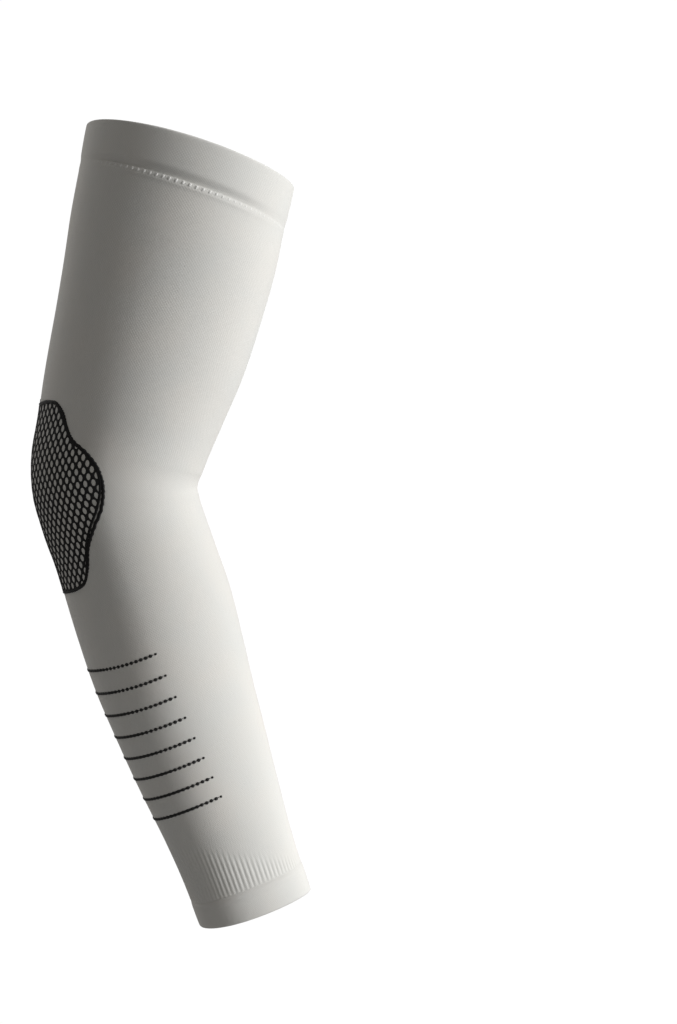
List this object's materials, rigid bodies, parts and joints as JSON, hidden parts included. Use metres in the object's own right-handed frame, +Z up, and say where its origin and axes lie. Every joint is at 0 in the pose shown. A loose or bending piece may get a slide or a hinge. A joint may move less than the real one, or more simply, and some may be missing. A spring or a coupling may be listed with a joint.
{
  "type": "arm sleeve",
  "caption": "Knitted compression sleeve for a slightly bent arm, with a doubled upper band, a net over the elbow, lines round the forearm and a ribbed wrist.",
  "frame": {"origin": "middle of the upper opening, where the sleeve grips the upper arm", "axes": "+Z up, with the sleeve hanging below the origin; the arm bends in the XZ plane, its back and elbow towards -X and its front towards +X; +Y from one side of the arm to the other"},
  "size_m": [0.1442, 0.0964, 0.409],
  "materials": {
    "pale_knit": "matt fine jersey, pale warm grey",
    "black_yarn": "matt black"
  },
  "bodies": {
    "root": {"top_band": "pale_knit", "knit_sleeve": "pale_knit", "wrist_ribs": "pale_knit", "wrist_band": "pale_knit", "elbow_net": "black_yarn", "forearm_line_1": "black_yarn", "forearm_line_2": "black_yarn", "forearm_line_3": "black_yarn", "forearm_line_4": "black_yarn", "forearm_line_5": "black_yarn", "forearm_line_6": "black_yarn", "forearm_line_7": "black_yarn", "forearm_line_8": "black_yarn"}
  },
  "joints": []
}
